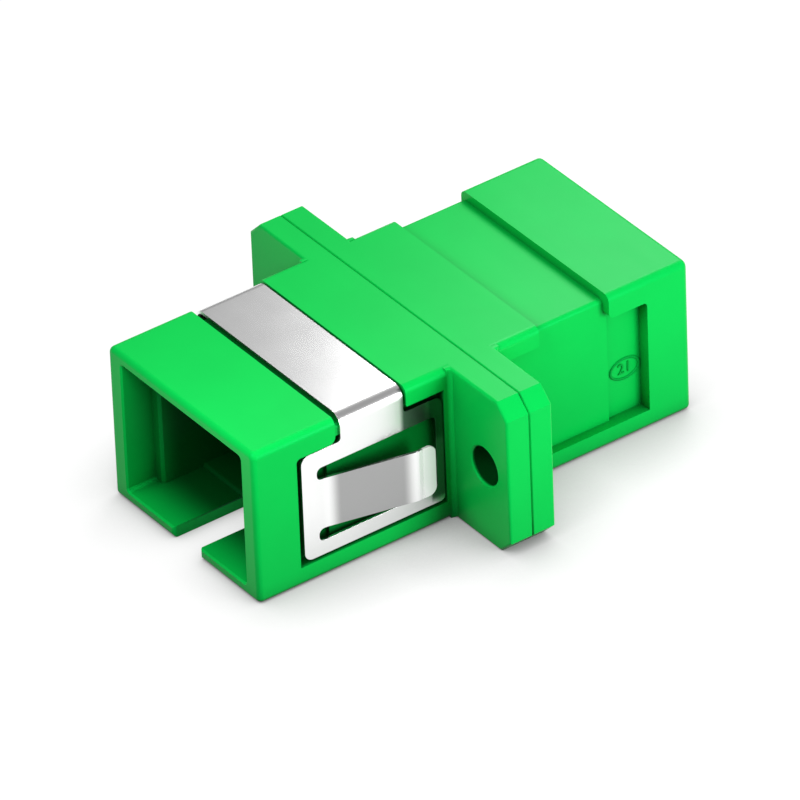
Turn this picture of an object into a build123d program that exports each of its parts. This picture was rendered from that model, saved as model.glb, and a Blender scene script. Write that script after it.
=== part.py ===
from build123d import *
import os

# Flanged fibre optic adapter for one rectangular push-pull plug on each side.
# Sizes are in millimetres. The origin is the middle of the sleeve bore, X runs across the
# width, Y along the fibre (the port with the panel clip faces -Y) and Z is up.

# Housing outside
body_length = 27.4
body_width = 12.6
body_height = 9.2
top_edge_round = 0.4
bottom_edge_round = 0.3
mouth_edge_round = 0.3

# Flange, half of it on each housing half
flange_width = 22.1
flange_thickness = 2.85
flange_corner_cut = 0.85
flange_edge_round = 0.15
flange_root_round = 0.25
seam_bevel = 0.07
hole_spacing = 18.0
hole_diameter = 2.2
hole_edge_bevel = 0.08

# Port inside: it narrows in two steps to the guide for a 9.0 x 7.4 plug
mouth_width = 10.35
mouth_height = 7.85
mouth_depth = 1.8
low_step_depth = 4.3
guide_width = 9.1
guide_height = 7.5
guide_lead_in = 0.15
mouth_corner_round = 0.2
mouth_inner_bevel = 0.1

# Key slot in the bottom wall
key_slot_width = 2.3
key_slot_length = 7.0
key_slot_flare = 0.2
key_slot_end_round = 0.5

# Recess for the clip strap and pockets for the clip wings
recess_depth = 0.48
recess_near = 4.2
recess_far = 8.62
saddle_edge_round = 0.25
pocket_depth = 0.55
pocket_near = 1.85
pocket_far = 11.05
pocket_bottom_margin = 1.1
front_lug_height = 1.42
rear_lug_height = 1.18
deep_zone_start = 8.85
deep_zone_extra = 0.2
front_lug_round = 0.35
rear_lug_round = 0.1
pocket_corner_round = 0.25

# Inner holder: plate, sleeve barrel and two latch arms
plate_width = 10.9
plate_height = 8.0
plate_thickness = 1.2
plate_corner_cut = 0.6
plate_clearance = 0.05
barrel_diameter = 4.6
barrel_reach = 6.3
barrel_root_bevel = 0.3
lip_bore_diameter = 2.9
lip_bevel = 0.3
arm_inner_x = 3.35
arm_outer_x = 4.25
arm_height = 3.6
arm_reach = 8.3
arm_root_round = 0.4
hook_face_y = 7.0
hook_flat = 0.35
hook_inner_x = 2.65
hook_tip_x = 3.3
pin_x = 3.9
pin_z = 2.9
pin_radius = 0.5
pin_length = 0.9
pin_clearance = 0.05

# Split ceramic sleeve for the 2.5 ferrules
sleeve_length = 11.4
sleeve_outer_diameter = 3.2
sleeve_bore_diameter = 2.5
sleeve_slit = 0.5
sleeve_bevel = 0.12
sleeve_clearance = 0.05

# Panel clip, folded from one sheet
sheet = 0.15
clip_side_x = 6.25
clip_bend_radius = 0.65
strap_near = 4.35
strap_far = 8.26
wing_near = 1.95
wing_far = 10.74
wing_top_gap = 0.08
wing_bottom_gap = 0.2
wing_corner_round = 0.5
neck_corner_round = 0.22
window_near = 2.4
window_corner_round = 0.3
leg_width = 0.93
tongue_top = 1.3
tongue_bottom = -1.71
slot_height = 0.74
slot_overrun = 0.45
slot_end_round = 0.3
tongue_stand_out = 1.12
tongue_slope_length = 4.95
tongue_tip_length = 1.16
tongue_bend_radius = 1.2
tongue_corner_round = 0.45

half_length = body_length / 2
half_width = body_width / 2
half_height = body_height / 2
half_flange = flange_thickness / 2
mouth_step_y = half_length - mouth_depth
low_step_y = half_length - low_step_depth
pocket_bottom_z = pocket_bottom_margin - half_height
front_lug_z = half_height - front_lug_height
rear_lug_z = half_height - rear_lug_height
pocket_floor_x = half_width - pocket_depth
bend_seat_x = clip_side_x - sheet
saddle_top_z = half_height - recess_depth
past = 1.0
near_enough = 0.01


def block(x_low, x_high, y_low, y_high, z_low, z_high):
    """Box between its low and high corner."""
    middle = Pos((x_low + x_high) / 2, (y_low + y_high) / 2, (z_low + z_high) / 2)
    return middle * Box(x_high - x_low, y_high - y_low, z_high - z_low)


def both_sides(piece):
    """The piece and its mirror image across the middle plane of the width."""
    return piece + mirror(piece, about=Plane.YZ)


def circles_at(shape, y, radius):
    """Round edges of one radius that lie in the plane at y."""
    return [
        edge
        for edge in shape.edges().filter_by(GeomType.CIRCLE)
        if abs(edge.radius - radius) < near_enough and abs(edge.arc_center.Y - y) < near_enough
    ]


def round_corner(outline, radius, *corners):
    """Outline with the corners nearest to the given points rounded."""
    chosen = [outline.vertices().sort_by_distance(corner)[0] for corner in corners]
    return fillet(chosen, radius)


def rounded_section(width, height, top_round, bottom_round):
    """Rectangle in X and Z with separate radii at its top and bottom corners."""
    section = Rectangle(width, height)
    section = fillet(section.vertices().group_by(Axis.Y)[-1], top_round)
    return fillet(section.vertices().group_by(Axis.Y)[0], bottom_round)


def body_shell():
    """Outside of one half: the rectangular port body with half of the flange on its end."""
    section = rounded_section(body_width, body_height, top_edge_round, bottom_edge_round)
    overlap = half_flange / 2
    body = Pos(0, -overlap, 0) * extrude(Plane.XZ * section, half_length - overlap)
    body = fillet(body.faces().sort_by(Axis.Y)[0].edges(), mouth_edge_round)

    ear_outline = Rectangle(flange_width, body_height)
    ear_outline = chamfer(ear_outline.vertices(), flange_corner_cut)
    flange = extrude(Plane.XZ * ear_outline, half_flange)
    flange = chamfer(flange.faces().sort_by(Axis.Y)[-1].edges(), seam_bevel)
    flange = fillet(flange.faces().sort_by(Axis.Y)[0].edges(), flange_edge_round)

    return body + flange + both_sides(flange_root())


def flange_root():
    """Concave strip that blends the right side of the body into the face of the ear."""
    middle_x = half_width + flange_root_round
    middle_y = -half_flange - flange_root_round
    plan = Pos(half_width, -half_flange) * Rectangle(2 * flange_root_round, 2 * flange_root_round)
    plan -= Pos(middle_x, middle_y) * Circle(flange_root_round)
    strip = extrude(Pos(0, 0, -half_height) * plan, body_height)
    around = rounded_section(
        body_width + 2 * flange_root_round, body_height, top_edge_round, bottom_edge_round
    )
    return strip & extrude(Plane.XZ * around, half_length)


def port_profile(mouth_size, guide_size, step_y):
    """Lengthwise section of the plug space: mouth, lead-in and guide, with +Y to the flange."""
    mouth_edge = mouth_size / 2
    guide_edge = guide_size / 2
    half = Polyline(
        (0, -half_length - past),
        (mouth_edge, -half_length - past),
        (mouth_edge, -step_y),
        (guide_edge + guide_lead_in, -step_y),
        (guide_edge, -step_y + guide_lead_in),
        (guide_edge, -plate_thickness / 2),
        (0, -plate_thickness / 2),
        close=True,
    )
    return both_sides(make_face(half))


def port_cavity():
    """Plug space that narrows at the sides first, then above and below, and the plate's seat."""
    plan = port_profile(mouth_width, guide_width, mouth_step_y)
    side = port_profile(mouth_height, guide_height, low_step_y)
    across = extrude(Pos(0, 0, -half_height) * plan, body_height)
    upright = Rot(0, 90, 0) * extrude(Pos(0, 0, -half_width) * side, body_width)
    corner = mouth_corner_round
    tunnel = Plane.XZ * rounded_section(mouth_width, mouth_height, corner, corner)
    space = across & upright & extrude(tunnel, half_length + past)
    seat_x = plate_width / 2 + plate_clearance
    seat_z = plate_height / 2 + plate_clearance
    return space + block(-seat_x, seat_x, -plate_thickness, past, -seat_z, seat_z)


def key_slot():
    """Slot for the plug's key through the bottom wall, flared at the mouth."""
    half_slot = key_slot_width / 2
    flare_y = -half_length + key_slot_flare
    slot_end = Pos(0, -half_length + key_slot_length / 2)
    slot = slot_end * Rectangle(key_slot_width, key_slot_length)
    slot = fillet(slot.vertices().group_by(Axis.Y)[-1], key_slot_end_round)
    flare_half = half_slot + key_slot_flare
    flare = Pos(0, flare_y - past) * Rectangle(2 * flare_half, 2 * past)
    for side in (-1, 1):
        flare -= Pos(side * flare_half, flare_y) * Circle(key_slot_flare)
    plan = slot + flare
    bottom_wall = half_height - guide_height / 2
    return extrude(Pos(0, 0, -half_height - past) * plan, bottom_wall + 2 * past)


def strap_recess():
    """Saddle cut over the top, whose right side is the seat that the clip's neck lies on."""
    saddle_width = pocket_floor_x + bend_seat_x
    saddle = rounded_section(
        saddle_width, 2 * saddle_top_z, saddle_edge_round, saddle_edge_round
    )
    saddle = Pos((bend_seat_x - pocket_floor_x) / 2, 0) * saddle
    span = recess_far - recess_near
    core = Pos(0, -recess_near, 0) * extrude(Plane.XZ * saddle, span)
    above = block(
        -half_width - past, half_width + past, -recess_far, -recess_near, 0, half_height + past
    )
    return above - core


def side_pocket(strap_depth):
    """Open pocket in the right side for the clip wing, with a lug on each side of the strap.

    Between the lugs it has a depth of its own, where the strap comes down.
    """
    top = half_height + past
    corners = {
        "far_bottom": (-pocket_far, pocket_bottom_z),
        "near_bottom": (-pocket_near, pocket_bottom_z),
        "near_top": (-pocket_near, rear_lug_z),
        "rear_lug": (-recess_near, rear_lug_z),
        "strap_near": (-recess_near, top),
        "strap_far": (-recess_far, top),
        "front_lug": (-recess_far, front_lug_z),
        "far_top": (-pocket_far, front_lug_z),
    }
    outline = make_face(Polyline(*corners.values(), close=True))
    outline = round_corner(outline, front_lug_round, corners["front_lug"])
    outline = round_corner(outline, rear_lug_round, corners["rear_lug"])
    outline = round_corner(outline, pocket_corner_round, corners["far_top"])
    far, near, low = -pocket_far, -pocket_near, pocket_bottom_z
    shallow = Pos(half_width - strap_depth, 0, 0) * extrude(Plane.YZ * outline, strap_depth + past)
    deep = Pos(pocket_floor_x, 0, 0) * extrude(Plane.YZ * outline, pocket_depth + past)
    deep &= block(0, half_width + past, far, near, low, rear_lug_z)
    end_zone = block(
        pocket_floor_x - deep_zone_extra,
        pocket_floor_x + pocket_depth / 2,
        far,
        -deep_zone_start,
        low,
        front_lug_z,
    )
    return shallow + deep + end_zone


def housing_half():
    """One moulded half with its port towards -Y."""
    half = body_shell() - port_cavity()
    mouth_face = half.faces().sort_by(Axis.Y)[0]
    half = chamfer(mouth_face.inner_wires()[0].edges(), mouth_inner_bevel)
    left_pocket = mirror(side_pocket(pocket_depth), about=Plane.YZ)
    right_pocket = side_pocket(half_width - bend_seat_x)
    half = half - key_slot() - strap_recess() - left_pocket - right_pocket
    for side in (-1, 1):
        hole = Pos(side * hole_spacing / 2, 0, 0) * extrude(
            Plane.XZ * Circle(hole_diameter / 2), half_flange + past
        )
        half -= hole
    return chamfer(circles_at(half, -half_flange, hole_diameter / 2), hole_edge_bevel)


def latch_arm():
    """Spring arm on the right of the barrel, with an inward hook that holds the plug."""
    plan = Polyline(
        (arm_inner_x, -plate_thickness / 2),
        (arm_inner_x, -hook_face_y),
        (hook_inner_x, -hook_face_y),
        (hook_inner_x, -hook_face_y - hook_flat),
        (hook_tip_x, -arm_reach),
        (arm_outer_x, -arm_reach),
        (arm_outer_x, -plate_thickness / 2),
        close=True,
    )
    arm = extrude(Pos(0, 0, -arm_height / 2) * make_face(plan), arm_height)
    tip_edges = arm.edges().filter_by(Axis.Z).group_by(Axis.Y)[0]
    return chamfer(tip_edges, hook_flat / 2)


def holder_half():
    """One inner holder with its barrel and latch arms towards -Y."""
    outline = chamfer(Rectangle(plate_width, plate_height).vertices(), plate_corner_cut)
    holder = extrude(Plane.XZ * outline, plate_thickness)
    barrel = extrude(Plane.XZ * Circle(barrel_diameter / 2), barrel_reach)
    barrel = chamfer(barrel.edges().group_by(Axis.Y)[0], lip_bevel)
    holder = holder + barrel
    root = circles_at(holder, -plate_thickness, barrel_diameter / 2)
    holder = chamfer(root, barrel_root_bevel)
    holder = holder + both_sides(latch_arm())
    arm_roots = [
        edge
        for edge in holder.edges().filter_by(Axis.Z)
        if abs(abs(edge.center().X) - arm_inner_x) < near_enough
        and abs(edge.center().Y + plate_thickness) < near_enough
    ]
    holder = fillet(arm_roots, arm_root_round)

    chamber_radius = sleeve_outer_diameter / 2 + sleeve_clearance
    chamber = extrude(Plane.XZ * Circle(chamber_radius), sleeve_length / 2)
    lip_bore = extrude(Plane.XZ * Circle(lip_bore_diameter / 2), barrel_reach + past)
    mouth_cone = Pos(0, -barrel_reach + lip_bevel / 2, 0) * Rot(90, 0, 0) * Cone(
        lip_bore_diameter / 2, lip_bore_diameter / 2 + lip_bevel, lip_bevel
    )
    holder = holder - chamber - lip_bore - mouth_cone

    hole_depth = pin_length + 2 * pin_clearance
    for side in (-1, 1):
        pin = Pos(side * pin_x, pin_length, side * pin_z) * extrude(
            Plane.XZ * Circle(pin_radius), pin_length + plate_thickness / 2
        )
        hole = Pos(-side * pin_x, 0, side * pin_z) * extrude(
            Plane.XZ * Circle(pin_radius + pin_clearance), hole_depth
        )
        holder = holder + pin - hole
    return holder


def split_sleeve():
    """Ceramic tube with one lengthwise slit, bevelled inside at both ends."""
    tube = Cylinder(sleeve_outer_diameter / 2, sleeve_length, rotation=(90, 0, 0))
    tube -= Cylinder(sleeve_bore_diameter / 2, sleeve_length, rotation=(90, 0, 0))
    ends = tube.edges().filter_by(GeomType.CIRCLE)
    tube = chamfer(ends, sleeve_bevel)
    half_slit = sleeve_slit / 2
    end = sleeve_length / 2 + past
    return tube - block(-half_slit, half_slit, -end, end, 0, sleeve_outer_diameter)


def wing_outline():
    """Side view of the blank: wing frame in the pocket and neck up to the strap."""
    wing_top = front_lug_z - wing_top_gap
    wing_bottom = pocket_bottom_z + wing_bottom_gap
    top = half_height + past
    corners = {
        "far_bottom": (-wing_far, wing_bottom),
        "near_bottom": (-wing_near, wing_bottom),
        "near_top": (-wing_near, wing_top),
        "neck_near": (-strap_near, wing_top),
        "strap_near": (-strap_near, top),
        "strap_far": (-strap_far, top),
        "neck_far": (-strap_far, wing_top),
        "far_top": (-wing_far, wing_top),
    }
    outline = make_face(Polyline(*corners.values(), close=True))
    for name in ("far_bottom", "near_top", "far_top"):
        outline = round_corner(outline, wing_corner_round, corners[name])
    for name in ("neck_near", "neck_far"):
        outline = round_corner(outline, neck_corner_round, corners[name])
    return round_corner(outline, window_corner_round, corners["near_bottom"])


def wing_window():
    """Side view of what is cut out of the wing: the space the tongue left and its two slots."""
    root_y = -wing_far + leg_width + slot_overrun
    low = tongue_bottom - slot_height
    high = tongue_top + slot_height
    middle_y = (root_y - window_near) / 2
    window = Pos(middle_y, (low + high) / 2) * Rectangle(-window_near - root_y, high - low)
    for corner in ((-window_near, low), (-window_near, high)):
        window = round_corner(window, window_corner_round, corner)
    end_y = root_y - slot_overrun
    start_y = root_y + slot_height
    for centre_z in (low + slot_height / 2, high - slot_height / 2):
        slot = Pos((end_y + start_y) / 2, centre_z) * Rectangle(start_y - end_y, slot_height)
        ends = slot.vertices().group_by(Axis.X)[0]
        window += fillet(ends, slot_end_round)
    return window


def tongue():
    """Right tongue: bent out of the wing towards the flange, its tip bent back straight."""
    root_y = -wing_far + leg_width + slot_overrun
    inside_x = clip_side_x - sheet / 2
    outside_x = inside_x + tongue_stand_out
    bend_y = root_y + tongue_slope_length
    line = FilletPolyline(
        (inside_x, root_y - slot_overrun),
        (inside_x, root_y),
        (outside_x, bend_y),
        (outside_x, bend_y + tongue_tip_length),
        radius=tongue_bend_radius,
    )
    strip = trace(line, sheet)
    height = tongue_top - tongue_bottom
    piece = extrude(Pos(0, 0, tongue_bottom) * strip, height)
    tip_edges = [
        edge
        for edge in piece.edges().filter_by(Axis.X)
        if abs(edge.center().Y - bend_y - tongue_tip_length) < near_enough
    ]
    return fillet(tip_edges, tongue_corner_round)


def mounting_clip():
    """Folded clip: strap over the top, a wing frame in each pocket, a tongue in each wing."""
    outer_width = 2 * clip_side_x
    inner_width = outer_width - 2 * sheet
    tall = 2 * half_height
    bend_inside = clip_bend_radius - sheet
    outer = rounded_section(outer_width, tall, clip_bend_radius, clip_bend_radius)
    inner = rounded_section(inner_width, tall - 2 * sheet, bend_inside, bend_inside)
    fold = outer - inner
    channel = Pos(0, -wing_near, 0) * extrude(Plane.XZ * fold, wing_far - wing_near)
    side_view = wing_outline() - wing_window()
    reach = half_width + past
    cutter = Pos(-reach, 0, 0) * extrude(Plane.YZ * side_view, 2 * reach)
    return (channel & cutter) + both_sides(tongue())


front_housing = housing_half()
front_holder = holder_half()
turned = Rot(0, 0, 180)
pieces = {
    "housing_front": front_housing,
    "housing_rear": turned * front_housing,
    "inner_holder_front": front_holder,
    "inner_holder_rear": turned * front_holder,
    "alignment_sleeve": split_sleeve(),
    "mounting_clip": mounting_clip(),
}

os.makedirs("parts", exist_ok=True)
for name, piece in pieces.items():
    export_step(piece, f"parts/{name}.step")
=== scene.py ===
import math

import bmesh
import bpy
from bpy.props import (
    FloatProperty,
    FloatVectorProperty,
    IntProperty,
    PointerProperty,
    StringProperty,
)
from mathutils import Matrix, Vector


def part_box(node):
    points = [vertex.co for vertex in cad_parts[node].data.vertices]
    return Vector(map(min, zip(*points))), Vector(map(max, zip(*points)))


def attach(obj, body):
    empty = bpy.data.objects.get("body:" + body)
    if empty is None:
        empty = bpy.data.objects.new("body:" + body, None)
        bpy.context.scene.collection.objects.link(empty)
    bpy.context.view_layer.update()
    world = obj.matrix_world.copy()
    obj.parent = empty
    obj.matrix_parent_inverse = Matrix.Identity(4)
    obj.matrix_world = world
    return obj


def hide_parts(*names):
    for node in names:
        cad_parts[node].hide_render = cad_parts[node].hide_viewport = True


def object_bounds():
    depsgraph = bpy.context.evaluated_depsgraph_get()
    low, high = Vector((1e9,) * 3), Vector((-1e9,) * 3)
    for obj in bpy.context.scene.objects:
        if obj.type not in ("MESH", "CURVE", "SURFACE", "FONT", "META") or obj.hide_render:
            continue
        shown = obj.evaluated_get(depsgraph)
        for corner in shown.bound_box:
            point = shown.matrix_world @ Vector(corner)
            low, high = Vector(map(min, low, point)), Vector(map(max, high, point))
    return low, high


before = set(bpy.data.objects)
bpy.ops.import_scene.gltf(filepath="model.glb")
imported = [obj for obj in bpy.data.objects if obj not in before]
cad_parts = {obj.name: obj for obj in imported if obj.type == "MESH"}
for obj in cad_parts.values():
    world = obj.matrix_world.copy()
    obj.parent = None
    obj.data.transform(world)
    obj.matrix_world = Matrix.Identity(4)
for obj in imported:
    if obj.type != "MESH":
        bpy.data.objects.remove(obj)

bl_info = {
    "name": "Fibre optic adapter",
    "version": (1, 0, 0),
    "blender": (4, 5, 0),
    "location": "View3D > Sidebar > Adapter",
    "description": "Dresses the CAD model of a flanged fibre optic adapter and sets up its studio",
    "category": "Object",
}

MM = 0.001
MERGE_DISTANCE = 0.001 * MM
FLAT_ANGLE = math.radians(0.3)
SHARP_ANGLE = math.radians(32.0)
QUARTER_TURN = math.pi / 2

WHITE = (1.0, 1.0, 1.0)
HIGHLIGHT = (0.05, 1.0, 0.65)
# dark green painted on the wing as the reflection of the flange ear
EAR_REFLECTION_GREEN = (0.03, 0.1, 0.06)
# share of the housing colour that its painted shade darkens to
PAINTED_SHADE_SHARE = 0.08
# share of the steel colour on the tongue slopes, a painted dark reflection
SLOPE_REFLECTION_SHARE = 0.4
# share of the housing colour on the cavity mark, a painted shade of its raised lines
MARK_SHADE_SHARE = 0.55

# Places where the materials change, in millimetres: soft edges, or stretches and their softness

PORT_SIDE = (5.2, 5.35)
PORT_ROOF = (3.95, 4.05)
PORT_REACH = (10.6, 13.9)
POCKET_WALL = (5.3, 6.05, 0.12)
POCKET_LENGTH = (-11.1, -1.8, 0.05)
POCKET_HEIGHT = (-3.6, 3.3, 0.05)
HOLE_PLACE = 9.0
HOLE_WALL = (1.1, 1.14)
HOLE_END = (1.2, 1.36)
WING_FACE = (6.0, 6.45, 0.05)
WING_FOOT = (-3.3, -2.8)
WING_ROOT = (-4.65, -4.3)
WING_ROOT_FOOT = (0.4, 0.9)
WING_POST = (-2.85, -2.7)
SLOPE_FACE = (6.28, 6.45)
SLOPE_END = (-5.2, -4.4)
TIP_FACE = (6.6, 6.7)
TIP_START = (-4.15, -3.95)

# Studio, lamp sizes and places in millimetres

PICTURE_SIDE = 800
SENSOR = 36.0
CLIP_START, CLIP_END = 0.01, 10.0
FLOOR_HALF = 1.5
FLOOR_GAP = 0.02 * MM
# reach of the painted shadow round the adapter on the floor
FLOOR_SHADE_REACH = 5.5 * MM
MIDDLE_HEIGHT = 4.675 * MM
LAMPS = {
    "key": ((30, 30), (60, 22, 14)),
    "front": ((20, 20), (12, -26, 27)),
    "back": ((34, 34), (-34, 48, 50)),
}

CAD_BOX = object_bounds()
SLEEVE_LOW, SLEEVE_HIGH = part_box("alignment_sleeve")
BASE_Z = CAD_BOX[0].z


# Settings


class AdapterPlastic(bpy.types.PropertyGroup):
    """Moulded plastic of the housing and the inner holders"""

    housing: FloatVectorProperty(
        name="Housing colour",
        description="Colour of the two housing halves",
        subtype="COLOR",
        size=3,
        min=0.0,
        max=1.0,
        default=(0.003, 0.665, 0.088),
    )
    holder: FloatVectorProperty(
        name="Holder colour",
        description="Colour of the two inner holders",
        subtype="COLOR",
        size=3,
        min=0.0,
        max=1.0,
        default=(0.0, 0.36, 0.045),
    )
    gloss: FloatProperty(
        name="Roughness",
        description="Roughness of the moulded skin",
        subtype="FACTOR",
        min=0.05,
        max=1.0,
        default=0.34,
    )
    edge: FloatProperty(
        name="Edge radius",
        description="Radius of the edges that the mould leaves nearly sharp",
        subtype="DISTANCE",
        unit="LENGTH",
        min=0.0,
        default=0.04 * MM,
    )


class AdapterSteel(bpy.types.PropertyGroup):
    """Spring steel of the panel clip"""

    colour: FloatVectorProperty(
        name="Steel colour",
        description="Colour of the bright rolled sheet",
        subtype="COLOR",
        size=3,
        min=0.0,
        max=1.0,
        default=(0.97, 0.97, 0.97),
    )
    roughness: FloatProperty(
        name="Roughness",
        description="Roughness of the rolled sheet",
        subtype="FACTOR",
        min=0.02,
        max=1.0,
        default=0.26,
    )
    edge: FloatProperty(
        name="Edge radius",
        description="Radius that tumbling leaves on the cut edges",
        subtype="DISTANCE",
        unit="LENGTH",
        min=0.0,
        default=0.04 * MM,
    )


class AdapterSleeve(bpy.types.PropertyGroup):
    """Split ceramic sleeve"""

    colour: FloatVectorProperty(
        name="Ceramic colour",
        description="Colour of the polished zirconia",
        subtype="COLOR",
        size=3,
        min=0.0,
        max=1.0,
        default=(0.86, 0.84, 0.78),
    )
    length: FloatProperty(
        name="Length",
        description="Length of the sleeve along the fibre",
        subtype="DISTANCE",
        unit="LENGTH",
        default=SLEEVE_HIGH.y - SLEEVE_LOW.y,
    )
    outer: FloatProperty(
        name="Outer diameter",
        description="Outer diameter of the sleeve",
        subtype="DISTANCE",
        unit="LENGTH",
        default=SLEEVE_HIGH.x - SLEEVE_LOW.x,
    )
    bore: FloatProperty(
        name="Bore",
        description="Bore for the two ferrules",
        subtype="DISTANCE",
        unit="LENGTH",
        default=2.5 * MM,
    )
    slit: FloatProperty(
        name="Slit",
        description="Width of the lengthwise slit on top",
        subtype="DISTANCE",
        unit="LENGTH",
        default=0.5 * MM,
    )
    bevel: FloatProperty(
        name="Bevel",
        description="Bevel inside and outside at both ends",
        subtype="DISTANCE",
        unit="LENGTH",
        default=0.12 * MM,
    )
    edge: FloatProperty(
        name="Edge radius",
        description="Radius that polishing leaves on the edges",
        subtype="DISTANCE",
        unit="LENGTH",
        min=0.0,
        default=0.02 * MM,
    )
    steps: IntProperty(
        name="Steps",
        description="Number of steps round the sleeve",
        min=12,
        default=96,
    )


class AdapterMark(bpy.types.PropertyGroup):
    """Plain cavity mark in the right pocket of the rear half"""

    number: StringProperty(
        name="Number",
        description="Plain number inside the ring",
        default="21",
    )
    width: FloatProperty(
        name="Ring width",
        description="Width of the oval ring along the fibre",
        subtype="DISTANCE",
        unit="LENGTH",
        default=1.8 * MM,
    )
    tall: FloatProperty(
        name="Ring height",
        description="Height of the oval ring",
        subtype="DISTANCE",
        unit="LENGTH",
        default=1.2 * MM,
    )
    line: FloatProperty(
        name="Line width",
        description="Width of the ring's line",
        subtype="DISTANCE",
        unit="LENGTH",
        default=0.11 * MM,
    )
    relief: FloatProperty(
        name="Relief",
        description="How far the mark stands out of the pocket floor",
        subtype="DISTANCE",
        unit="LENGTH",
        default=0.06 * MM,
    )
    centre: FloatVectorProperty(
        name="Centre",
        description="Middle of the mark on the pocket floor",
        subtype="TRANSLATION",
        unit="LENGTH",
        size=3,
        default=(5.55 * MM, 10.02 * MM, -0.84 * MM),
    )


class AdapterStudio(bpy.types.PropertyGroup):
    """Camera, floor and lamps"""

    azimuth: FloatProperty(
        name="Azimuth",
        description="Camera direction round the adapter, 0 looks along +Y",
        subtype="ANGLE",
        unit="ROTATION",
        default=math.radians(55.004),
    )
    elevation: FloatProperty(
        name="Elevation",
        description="Camera height above the horizon",
        subtype="ANGLE",
        unit="ROTATION",
        default=math.radians(35.032),
    )
    roll: FloatProperty(
        name="Roll",
        description="Turn of the camera about its own axis",
        subtype="ANGLE",
        unit="ROTATION",
        default=math.radians(-2.324),
    )
    distance: FloatProperty(
        name="Distance",
        description="From the camera to the middle of the adapter",
        subtype="DISTANCE",
        unit="LENGTH",
        default=624.08 * MM,
    )
    scale: FloatProperty(
        name="Picture scale",
        description="Picture points for each metre at the middle of the adapter",
        default=19594.0,
    )
    right: FloatProperty(
        name="Picture right",
        description="Picture points by which the adapter's middle lies right of the centre",
        default=1.44,
    )
    up: FloatProperty(
        name="Picture up",
        description="Picture points by which the adapter's middle lies above the centre",
        default=24.37,
    )
    floor: FloatProperty(
        name="Floor white",
        description="Share of the light on the floor that it sends back",
        subtype="FACTOR",
        min=0.0,
        max=1.0,
        default=0.22,
    )
    glow: FloatProperty(
        name="Floor glow",
        description="Brightness that the floor and the room show on their own",
        subtype="FACTOR",
        min=0.0,
        max=1.0,
        default=0.87,
    )
    key: FloatProperty(
        name="Key lamp",
        description="Power of the lamp at the right of the port without the clip",
        unit="POWER",
        default=0.031,
    )
    front: FloatProperty(
        name="Front lamp",
        description="Power of the lamp above the port with the clip",
        unit="POWER",
        default=0.0075,
    )
    back: FloatProperty(
        name="Back lamp",
        description="Power of the lamp behind on the left that the flat tops and the strap mirror",
        unit="POWER",
        default=0.029,
    )
    fill: FloatProperty(
        name="Fill",
        description="Strength of the light from all round",
        default=0.3,
    )


# Shaders


class Signal:
    """A socket in a node tree; arithmetic on it adds Math nodes."""

    def __init__(self, wiring, socket):
        self.wiring = wiring
        self.socket = socket

    def maths(self, operation, *values):
        return self.wiring.add("ShaderNodeMath", {"operation": operation}, *values)

    def __add__(self, other):
        return self.maths("ADD", self, other)

    def __radd__(self, other):
        return self.maths("ADD", other, self)

    def __sub__(self, other):
        return self.maths("SUBTRACT", self, other)

    def __rsub__(self, other):
        return self.maths("SUBTRACT", other, self)

    def __mul__(self, other):
        return self.maths("MULTIPLY", self, other)

    def __rmul__(self, other):
        return self.maths("MULTIPLY", other, self)

    def __truediv__(self, other):
        return self.maths("DIVIDE", self, other)

    def __rtruediv__(self, other):
        return self.maths("DIVIDE", other, self)

    def __pow__(self, other):
        return self.maths("POWER", self, other)

    def __abs__(self):
        return self.maths("ABSOLUTE", self)

    def arcsine(self):
        return self.maths("ARCSINE", self)

    def at_most(self, other):
        return self.maths("MINIMUM", self, other)

    def step(self, low, high):
        """0 below low, 1 above high and a smooth rise between them."""
        settings = {"interpolation_type": "SMOOTHSTEP"}
        return self.wiring.add("ShaderNodeMapRange", settings, self, low, high)


class Wiring:
    """A node tree in the making."""

    def __init__(self, tree):
        self.tree = tree

    def add(self, kind, settings=None, *values, out=0, at=None, **named):
        """Adds a node, sets it up, fills its inputs and gives one of its outputs.

        The inputs come by order, by number in the dictionary at, or by name.
        """
        node = self.tree.nodes.new(kind)
        for key, value in (settings or {}).items():
            setattr(node, key, value)
        inputs = list(zip(node.inputs, values))
        inputs += [(node.inputs[index], value) for index, value in (at or {}).items()]
        inputs += [(node.inputs[key.replace("_", " ")], value) for key, value in named.items()]
        for socket, value in inputs:
            if isinstance(value, Signal):
                self.tree.links.new(value.socket, socket)
            else:
                socket.default_value = value
        return Signal(self, node.outputs[out]) if node.outputs else None


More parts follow.
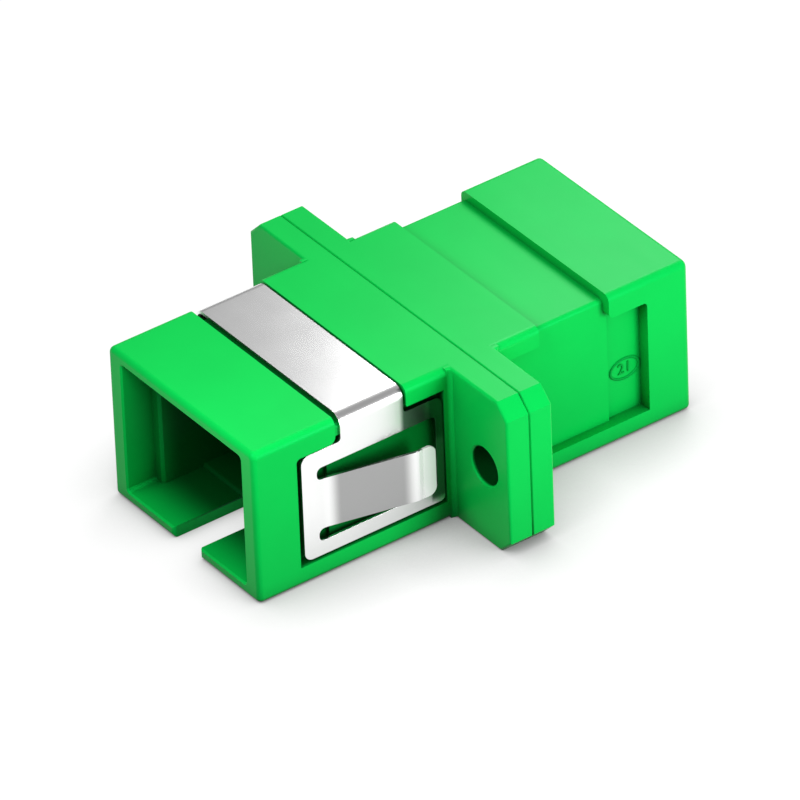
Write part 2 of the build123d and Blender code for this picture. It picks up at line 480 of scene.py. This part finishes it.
class Recipe(Wiring):
    """A material in the making."""

    def __init__(self, name):
        self.material = bpy.data.materials.new(name)
        self.material.use_nodes = True
        super().__init__(self.material.node_tree)
        self.tree.nodes.clear()

    def place(self):
        """Object coordinates, in metres in the frame of the adapter."""
        return self.add("ShaderNodeTexCoord", out="Object")

    def axes(self):
        """Distances along X, Y and Z in millimetres."""
        split = self.add("ShaderNodeSeparateXYZ", None, self.stretched((1.0 / MM,) * 3)).socket.node
        return [Signal(self, socket) for socket in split.outputs]

    def stretched(self, scales):
        """Object coordinates with each axis multiplied."""
        return self.add("ShaderNodeVectorMath", {"operation": "MULTIPLY"}, self.place(), scales)

    def noise(self, where, scale, detail):
        """Even noise between 0 and 1."""
        return self.add(
            "ShaderNodeTexNoise", None, Vector=where, Scale=scale, Detail=detail, out="Fac"
        )

    def blend(self, share, first, second):
        """Colour between two colours."""
        sockets = {0: share, 6: first, 7: second}
        return self.add("ShaderNodeMix", {"data_type": "RGBA"}, at=sockets, out=2)

    def bump(self, height, distance, strength):
        """Normal of a surface with a fine relief."""
        return self.add("ShaderNodeBump", None, Height=height, Distance=distance, Strength=strength)

    def finished(self, shader):
        """The material, with a shader on its surface."""
        self.add("ShaderNodeOutputMaterial", None, Surface=shader)
        return self.material

    def surface(self, **named):
        """The material, with a Principled shader on its surface."""
        return self.finished(self.add("ShaderNodeBsdfPrincipled", None, **named))


def opaque(colour, share=1.0):
    """Colour with alpha, darkened to a share of itself."""
    return tuple(part * share for part in colour) + (1.0,)


def within(value, low, high, soft):
    """1 between two bounds, falling to 0 over a soft edge outside each."""
    return value.step(low - soft, low) * (1.0 - value.step(high, high + soft))


def port_shade(recipe):
    """Painted shade mask: 0 on the outside of the housing, rising to 1 deep in its ports."""
    x, y, z = recipe.axes()
    inside = (1.0 - abs(x).step(*PORT_SIDE)) * (1.0 - abs(z).step(*PORT_ROOF))
    return inside * (1.0 - abs(y).step(*PORT_REACH))


def pocket_shade(recipe):
    """Painted shade mask: 1 on the floor and the walls of the pockets under the clip's wings."""
    x, y, z = recipe.axes()
    across = within(abs(x), *POCKET_WALL)
    return across * within(y, *POCKET_LENGTH) * within(z, *POCKET_HEIGHT)


def hole_shade(recipe):
    """Painted shade mask: 1 on the walls of the two screw holes."""
    x, y, z = recipe.axes()
    reach = ((abs(x) - HOLE_PLACE) ** 2.0 + z * z) ** 0.5
    return (1.0 - reach.step(*HOLE_WALL)) * (1.0 - abs(y).step(*HOLE_END))


def nook_shade(recipe, reach, shut, clear):
    """Painted shade mask from ambient occlusion: 0 in the open, rising to 1 in corners and hollows
    narrower than the reach.
    """
    openness = recipe.add(
        "ShaderNodeAmbientOcclusion", {"samples": 8}, Distance=reach, out="AO"
    )
    return 1.0 - openness.step(shut, clear)


def hollow_shades(recipe):
    """How far the painted shade darkens the colour of the housing, one signal for each kind: near
    the floor and in wide hollows, in close corners, deep in the ports, in the pockets under the
    clip and in the screw holes.
    """
    return (
        0.27 * nook_shade(recipe, reach=12.0 * MM, shut=0.2, clear=0.95),
        0.8 * nook_shade(recipe, reach=2.2 * MM, shut=0.15, clear=0.8),
        0.95 * port_shade(recipe),
        0.6 * pocket_shade(recipe),
        hole_shade(recipe),
    )


def moulded_plastic(name, colour, roughness, hollows=False):
    """Glossy moulded plastic: faint clouding, a fine skin and slight changes of gloss, and with
    hollows a painted shade in its hollows.
    """
    recipe = Recipe(name)
    place = recipe.place()
    clouds = recipe.noise(place, scale=260.0, detail=3.0).step(0.25, 0.75)
    skin = recipe.noise(place, scale=9000.0, detail=3.0)
    flow = recipe.noise(recipe.stretched((150.0, 1400.0, 150.0)), scale=1.0, detail=4.0)
    tone = recipe.blend(clouds, opaque(colour, 0.95), opaque(colour, 1.0))
    # painted shade: the colour is darkened in the corners, ports, pockets and screw holes, and a
    # little towards the floor
    if hollows:
        for shade in hollow_shades(recipe):
            tone = recipe.blend(shade, tone, opaque(colour, PAINTED_SHADE_SHARE))
    height = skin * 0.7 + flow * 0.6
    return recipe.surface(
        Base_Color=tone,
        Roughness=roughness - 0.03 + 0.05 * flow + 0.03 * skin,
        Specular_IOR_Level=0.13,
        Specular_Tint=opaque(HIGHLIGHT),
        Normal=recipe.bump(height, distance=0.004 * MM, strength=0.35),
    )


def rolled_steel(name, colour, roughness):
    """Bright rolled sheet with fine lines, a painted dark reflection on the tongue slopes and a
    painted reflection of the flange ear on the wing end at the flange.
    """
    recipe = Recipe(name)
    x, y, z = recipe.axes()
    lines = recipe.noise(recipe.stretched((60.0, 9000.0, 60.0)), scale=1.0, detail=4.0)
    clouds = recipe.noise(recipe.place(), scale=500.0, detail=3.0)
    bright = recipe.blend(clouds, opaque(colour, 0.95), opaque(colour, 1.0))
    # painted reflection: the tongue slopes are darkened in the colour, standing in for the dark
    # surroundings they mirror
    slope_reflection = abs(x).step(*SLOPE_FACE) * (1.0 - y.step(*SLOPE_END))
    tone = recipe.blend(slope_reflection, bright, opaque(colour, SLOPE_REFLECTION_SHARE))
    # painted reflection: next to the flange ear, the wing's root and post take the ear's dark green
    # reflection in their colour
    wing = within(abs(x), *WING_FACE) * z.step(*WING_FOOT)
    root = wing * y.step(*WING_ROOT) * z.step(*WING_ROOT_FOOT)
    post = wing * y.step(*WING_POST)
    for shade in (root, post):
        tone = recipe.blend(0.9 * shade, tone, opaque(EAR_REFLECTION_GREEN))
    tip = abs(x).step(*TIP_FACE) * y.step(*TIP_START)
    return recipe.surface(
        Base_Color=tone,
        Metallic=1.0 - 0.6 * tip,
        Roughness=roughness - 0.02 + 0.03 * lines + 0.02 * clouds,
        Normal=recipe.bump(lines, distance=0.0005 * MM, strength=0.15),
    )


def zirconia(name, colour):
    """Polished ceramic with a faint grain."""
    recipe = Recipe(name)
    place = recipe.place()
    grain = recipe.noise(place, scale=7000.0, detail=3.0)
    clouds = recipe.noise(place, scale=700.0, detail=2.0)
    tone = recipe.blend(clouds, opaque(colour, 0.96), opaque(colour))
    return recipe.surface(
        Base_Color=tone,
        Roughness=0.14 + 0.05 * grain,
        Normal=recipe.bump(grain, distance=0.001 * MM, strength=0.2),
    )


# Geometry by nodes


class Pattern(Wiring):
    """A Geometry Nodes tree with named inputs, which makes one piece."""

    def __init__(self, name, inputs):
        """The inputs give each name its kind of socket and its value."""
        super().__init__(bpy.data.node_groups.new(name, "GeometryNodeTree"))
        self.values = {}
        face = self.tree.interface
        face.new_socket("Geometry", in_out="OUTPUT", socket_type="NodeSocketGeometry")
        for label, (kind, value) in inputs.items():
            socket = face.new_socket(label, in_out="INPUT", socket_type="NodeSocket" + kind)
            self.values[socket.identifier] = value
        self.source = self.add("NodeGroupInput").socket.node

    def given(self, label):
        """One of the named inputs."""
        return Signal(self, self.source.outputs[label])

    def joined(self, *parts):
        """One geometry of several."""
        whole = self.add("GeometryNodeJoinGeometry")
        for part in parts:
            self.tree.links.new(part.socket, whole.socket.node.inputs[0])
        return whole

    def bar(self, width, height):
        """Rectangular section."""
        return self.add("GeometryNodeCurvePrimitiveQuadrilateral", None, width, height)

    def swept(self, path, section):
        """Solid swept along a path."""
        return self.add(
            "GeometryNodeCurveToMesh", None, Curve=path, Profile_Curve=section, Fill_Caps=True
        )

    def piece(self, piece_name, geometry):
        """Ends the tree, runs it and gives the result as a plain mesh."""
        whole = self.add("GeometryNodeRealizeInstances", None, geometry)
        dressed = self.add("GeometryNodeSetMaterial", None, whole, Material=self.given("Material"))
        self.add("NodeGroupOutput", None, dressed)
        holder = bpy.data.objects.new(piece_name, bpy.data.meshes.new(piece_name))
        bpy.context.scene.collection.objects.link(holder)
        modifier = holder.modifiers.new("Pattern", "NODES")
        modifier.node_group = self.tree
        for identifier, value in self.values.items():
            modifier[identifier] = value
        evaluated = holder.evaluated_get(bpy.context.evaluated_depsgraph_get())
        mesh = bpy.data.meshes.new_from_object(evaluated)
        holder.modifiers.remove(modifier)
        holder.data = mesh
        if not mesh.polygons:
            raise RuntimeError(f"the pattern for {piece_name} made no faces")
        return holder


def sleeve_pattern(settings, material):
    """Tube wall swept round the bore from one side of the slit to the other."""
    pattern = Pattern("split_sleeve_pattern", {
        "Length": ("Float", settings.length),
        "Outer diameter": ("Float", settings.outer),
        "Bore": ("Float", settings.bore),
        "Slit": ("Float", settings.slit),
        "Bevel": ("Float", settings.bevel),
        "Steps": ("Int", settings.steps),
        "Material": ("Material", material),
    })
    outer, bore = pattern.given("Outer diameter"), pattern.given("Bore")
    middle = (outer + bore) * 0.25
    half_gap = (pattern.given("Slit") * 0.5 / middle).arcsine()
    round_the_bore = pattern.add(
        "GeometryNodeCurveArc",
        {"mode": "RADIUS"},
        Resolution=pattern.given("Steps"),
        Radius=middle,
        Start_Angle=half_gap + QUARTER_TURN,
        Sweep_Angle=2 * math.pi - half_gap * 2.0,
    )
    wall = pattern.bar((outer - bore) * 0.5, pattern.given("Length"))
    wall = pattern.add(
        "GeometryNodeFilletCurve",
        {"mode": "POLY"},
        Curve=wall,
        Count=1,
        Radius=pattern.given("Bevel"),
    )
    tube = pattern.swept(round_the_bore, wall)
    along_fibre = pattern.add(
        "GeometryNodeTransform", None, Geometry=tube, Rotation=(QUARTER_TURN, 0.0, 0.0)
    )
    return pattern.piece("split_sleeve", along_fibre)


def mark_pattern(settings, material):
    """Oval ring with a plain number in it, raised on the pocket floor."""
    pattern = Pattern("cavity_mark_pattern", {
        "Number": ("String", settings.number),
        "Ring width": ("Float", settings.width),
        "Ring height": ("Float", settings.tall),
        "Line width": ("Float", settings.line),
        "Relief": ("Float", settings.relief),
        "Centre": ("Vector", tuple(settings.centre)),
        "Material": ("Material", material),
    })
    wide, tall = pattern.given("Ring width"), pattern.given("Ring height")
    line, relief = pattern.given("Line width"), pattern.given("Relief")
    circle = pattern.add(
        "GeometryNodeCurvePrimitiveCircle", {"mode": "RADIUS"}, Resolution=56, Radius=0.5
    )
    stretch = pattern.add("ShaderNodeCombineXYZ", None, wide, tall, 1.0)
    oval = pattern.add("GeometryNodeTransform", None, Geometry=circle, Scale=stretch)
    ring = pattern.swept(oval, pattern.bar(line, relief * 2.0))
    letters = pattern.add(
        "GeometryNodeStringToCurves",
        {"align_x": "CENTER", "align_y": "MIDDLE"},
        String=pattern.given("Number"),
        Size=tall * 0.75,
    )
    strokes = pattern.add("GeometryNodeRealizeInstances", None, letters)
    figures = pattern.add("GeometryNodeFillCurve", {"mode": "NGONS"}, Curve=strokes)
    raised = pattern.add(
        "GeometryNodeExtrudeMesh", None, Mesh=figures, Offset_Scale=relief, Individual=False
    )
    base = pattern.add("GeometryNodeFlipFaces", None, figures)
    both = pattern.joined(raised, base)
    solid = pattern.add("GeometryNodeMergeByDistance", None, both, Distance=MERGE_DISTANCE)
    on_floor = pattern.add(
        "GeometryNodeTransform",
        None,
        Geometry=pattern.joined(ring, solid),
        Translation=pattern.given("Centre"),
        Rotation=(QUARTER_TURN, 0.0, QUARTER_TURN),
    )
    return pattern.piece("cavity_mark", on_floor)


# Meshes


def merged_copy(node_name, piece_name):
    """Copy of a CAD node with its loose triangles joined and its flat faces made whole."""
    form = bmesh.new()
    form.from_mesh(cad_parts[node_name].data)
    bmesh.ops.remove_doubles(form, verts=form.verts, dist=MERGE_DISTANCE)
    bmesh.ops.dissolve_limit(form, angle_limit=FLAT_ANGLE, verts=form.verts, edges=form.edges)
    mesh = bpy.data.meshes.new(piece_name)
    form.to_mesh(mesh)
    form.free()
    piece = bpy.data.objects.new(piece_name, mesh)
    bpy.context.scene.collection.objects.link(piece)
    return piece


def soften_edges(piece, radius):
    """Rounds the sharp edges a little and shades the curved faces smoothly."""
    piece.data.shade_smooth()
    piece.data.set_sharp_from_angle(angle=SHARP_ANGLE)
    bevel = piece.modifiers.new("Edge radius", "BEVEL")
    bevel.limit_method = "ANGLE"
    bevel.angle_limit = SHARP_ANGLE
    bevel.width = radius
    bevel.segments = 2
    normals = piece.modifiers.new("Even normals", "WEIGHTED_NORMAL")
    normals.keep_sharp = True
    return piece


def finish_piece(piece, material, slot, *nodes):
    """Gives a piece its material and its body, and hides the CAD nodes that it stands for. The slot
    argument is not used.
    """
    piece.data.materials.clear()
    piece.data.materials.append(material)
    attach(piece, "root")
    if nodes:
        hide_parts(*nodes)
    return piece


# Operators


class ADAPTER_OT_housing(bpy.types.Operator):
    """Dress the two welded housing halves"""

    bl_idname = "adapter.housing"
    bl_label = "Housing halves"

    def execute(self, context):
        settings = context.scene.adapter_plastic
        plastic = moulded_plastic(
            "green_housing_plastic", settings.housing, settings.gloss, hollows=True
        )
        for end in ("front", "rear"):
            node = f"housing_{end}"
            piece = soften_edges(merged_copy(node, f"moulded_half_{end}"), settings.edge)
            finish_piece(piece, plastic, "housing", node)
        return {"FINISHED"}


class ADAPTER_OT_holders(bpy.types.Operator):
    """Dress the two inner holders with their latch arms"""

    bl_idname = "adapter.holders"
    bl_label = "Inner holders"

    def execute(self, context):
        settings = context.scene.adapter_plastic
        plastic = moulded_plastic("green_holder_plastic", settings.holder, settings.gloss)
        for end in ("front", "rear"):
            node = f"inner_holder_{end}"
            piece = soften_edges(merged_copy(node, f"latch_holder_{end}"), settings.edge)
            finish_piece(piece, plastic, "holder", node)
        return {"FINISHED"}


class ADAPTER_OT_clip(bpy.types.Operator):
    """Dress the folded spring steel panel clip"""

    bl_idname = "adapter.clip"
    bl_label = "Panel clip"

    def execute(self, context):
        settings = context.scene.adapter_steel
        steel = rolled_steel("bright_spring_steel", settings.colour, settings.roughness)
        piece = soften_edges(merged_copy("mounting_clip", "folded_clip"), settings.edge)
        finish_piece(piece, steel, "clip", "mounting_clip")
        return {"FINISHED"}


class ADAPTER_OT_sleeve(bpy.types.Operator):
    """Make the split ceramic sleeve"""

    bl_idname = "adapter.sleeve"
    bl_label = "Split sleeve"

    def execute(self, context):
        settings = context.scene.adapter_sleeve
        ceramic = zirconia("polished_zirconia", settings.colour)
        piece = soften_edges(sleeve_pattern(settings, ceramic), settings.edge)
        finish_piece(piece, ceramic, "sleeve", "alignment_sleeve")
        return {"FINISHED"}


class ADAPTER_OT_mark(bpy.types.Operator):
    """Raise the plain cavity mark in the pocket of the rear half"""

    bl_idname = "adapter.mark"
    bl_label = "Cavity mark"

    def execute(self, context):
        settings = context.scene.adapter_plastic
        # painted shade: the mark is a darker copy of the housing plastic, standing in for the shade
        # along its raised lines
        shaded = tuple(part * MARK_SHADE_SHARE for part in settings.housing)
        plastic = moulded_plastic("green_mark_plastic", shaded, settings.gloss)
        mark = mark_pattern(context.scene.adapter_mark, plastic)
        finish_piece(mark, plastic, "housing")
        return {"FINISHED"}


def lamp(name, power, size, place):
    """Soft panel lamp that shines at the middle of the adapter; sizes in millimetres."""
    data = bpy.data.lights.new(name, "AREA")
    data.shape = "RECTANGLE"
    data.energy = power
    data.size, data.size_y = (side * MM for side in size)
    lamp_object = bpy.data.objects.new(name, data)
    bpy.context.scene.collection.objects.link(lamp_object)
    lamp_object.location = Vector(place) * MM
    lamp_object.rotation_euler = (-Vector(place)).to_track_quat("-Z", "Y").to_euler()
    lamp_object.visible_camera = False


def seen_directly(recipe):
    """1 for what the camera, a reflection or a clear piece sees, 0 for lighting."""
    kinds = ("Is Camera Ray", "Is Glossy Ray", "Is Transmission Ray")
    rays = [recipe.add("ShaderNodeLightPath", out=kind) for kind in kinds]
    return (rays[0] + rays[1] + rays[2]).at_most(1.0)


def floor_sheet(white, glow):
    """White floor with a painted soft grey shadow round the adapter, besides its real shadow, clear
    from below.
    """
    recipe = Recipe("white_floor_sheet")
    # painted shadow: the floor's own glow dims where the adapter closes it in
    painted_shadow_openness = recipe.add(
        "ShaderNodeAmbientOcclusion", {"samples": 16}, Distance=FLOOR_SHADE_REACH, out="AO"
    )
    cloth = recipe.add(
        "ShaderNodeBsdfPrincipled",
        None,
        Base_Color=opaque(WHITE, white),
        Roughness=1.0,
        Specular_IOR_Level=0.0,
        Emission_Color=recipe.blend(painted_shadow_openness, opaque(WHITE, 0.0), opaque(WHITE, glow)),
        Emission_Strength=seen_directly(recipe),
    )
    from_below = recipe.add("ShaderNodeNewGeometry", out="Backfacing")
    clear = recipe.add("ShaderNodeBsdfTransparent")
    return recipe.finished(recipe.add("ShaderNodeMixShader", None, from_below, cloth, clear))


class ADAPTER_OT_studio(bpy.types.Operator):
    """Set up the floor, the lamps and the camera"""

    bl_idname = "adapter.studio"
    bl_label = "Studio"

    def execute(self, context):
        settings = context.scene.adapter_studio
        self.add_floor(context, settings)
        self.add_light(context, settings)
        self.add_camera(context, settings)
        context.scene.view_settings.view_transform = "Standard"
        return {"FINISHED"}

    def add_floor(self, context, settings):
        half = FLOOR_HALF
        corners = [(-half, -half), (half, -half), (half, half), (-half, half)]
        mesh = bpy.data.meshes.new("floor_sheet")
        height = BASE_Z - FLOOR_GAP
        mesh.from_pydata([(x, y, height) for x, y in corners], [], [(0, 1, 2, 3)])
        floor = bpy.data.objects.new("floor_sheet", mesh)
        context.scene.collection.objects.link(floor)
        mesh.materials.append(floor_sheet(settings.floor, settings.glow))

    def add_light(self, context, settings):
        for name, (size, place) in LAMPS.items():
            lamp(f"{name}_lamp", getattr(settings, name), size, place)
        world = bpy.data.worlds.new("studio")
        world.use_nodes = True
        world.node_tree.nodes.clear()
        air = Wiring(world.node_tree)
        white = air.add("ShaderNodeBackground", None, opaque(WHITE), settings.fill)
        air.add("ShaderNodeOutputWorld", None, Surface=white)
        context.scene.world = world

    def add_camera(self, context, settings):
        a, e = settings.azimuth, settings.elevation
        back = Vector((math.sin(a) * math.cos(e), -math.cos(a) * math.cos(e), math.sin(e)))
        level = Vector((math.cos(a), math.sin(a), 0.0))
        upright = back.cross(level)
        right = level * math.cos(settings.roll) + upright * math.sin(settings.roll)
        up = upright * math.cos(settings.roll) - level * math.sin(settings.roll)
        middle = Vector((0.0, 0.0, BASE_Z + MIDDLE_HEIGHT))
        place = middle + back * settings.distance
        place -= right * settings.right / settings.scale + up * settings.up / settings.scale
        data = bpy.data.cameras.new("camera")
        data.sensor_width = SENSOR
        data.lens = SENSOR * settings.distance * settings.scale / PICTURE_SIDE
        data.clip_start, data.clip_end = CLIP_START, CLIP_END
        camera = bpy.data.objects.new("camera", data)
        context.scene.collection.objects.link(camera)
        turn = Matrix((right, up, back)).transposed().to_4x4()
        camera.matrix_world = Matrix.Translation(place) @ turn
        context.scene.camera = camera


STEPS = (
    ADAPTER_OT_housing,
    ADAPTER_OT_holders,
    ADAPTER_OT_sleeve,
    ADAPTER_OT_clip,
    ADAPTER_OT_mark,
    ADAPTER_OT_studio,
)


class ADAPTER_PT_sidebar(bpy.types.Panel):
    """Steps that dress the adapter"""

    bl_idname = "ADAPTER_PT_sidebar"
    bl_label = "Fibre optic adapter"
    bl_space_type = "VIEW_3D"
    bl_region_type = "UI"
    bl_category = "Adapter"

    def draw(self, context):
        for step in STEPS:
            self.layout.operator(step.bl_idname)


SETTINGS = {
    "adapter_plastic": AdapterPlastic,
    "adapter_steel": AdapterSteel,
    "adapter_sleeve": AdapterSleeve,
    "adapter_mark": AdapterMark,
    "adapter_studio": AdapterStudio,
}


def register():
    for name, group in SETTINGS.items():
        bpy.utils.register_class(group)
        setattr(bpy.types.Scene, name, PointerProperty(type=group))
    for kind in STEPS + (ADAPTER_PT_sidebar,):
        bpy.utils.register_class(kind)


def unregister():
    for kind in (ADAPTER_PT_sidebar,) + STEPS[::-1]:
        bpy.utils.unregister_class(kind)
    for name, group in SETTINGS.items():
        delattr(bpy.types.Scene, name)
        bpy.utils.unregister_class(group)


def main():
    register()
    bpy.ops.adapter.housing()
    bpy.ops.adapter.holders()
    bpy.ops.adapter.sleeve()
    bpy.ops.adapter.clip()
    bpy.ops.adapter.mark()
    bpy.ops.adapter.studio()


if __name__ == "__main__":
    main()
